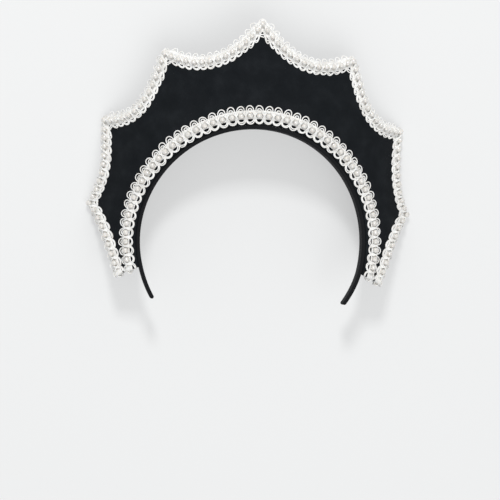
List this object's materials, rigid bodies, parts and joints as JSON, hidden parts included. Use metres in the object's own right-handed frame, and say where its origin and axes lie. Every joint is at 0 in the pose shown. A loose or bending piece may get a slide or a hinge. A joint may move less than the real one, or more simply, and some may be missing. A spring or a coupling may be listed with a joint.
{
  "type": "tudor headdress",
  "caption": "Stiff crescent headdress with pointed tips, velvet covered, edged with pearl braid, on a U-shaped head band, lying on its back.",
  "frame": {"origin": "centre of the footprint's box, on the surface it lies on", "axes": "+X to the viewer's right, +Y from the band's ends towards the crown's top, +Z out of the front face"},
  "size_m": [0.2352, 0.2044, 0.0547],
  "materials": {
    "black_velvet": "matte pile",
    "black_band_cloth": "matte",
    "pearl_braid": "satin"
  },
  "bodies": {
    "root": {"crown_plate": "black_velvet", "head_band": "black_band_cloth", "outer_pearl_braid": "pearl_braid", "arch_pearl_braid": "pearl_braid"}
  },
  "joints": []
}
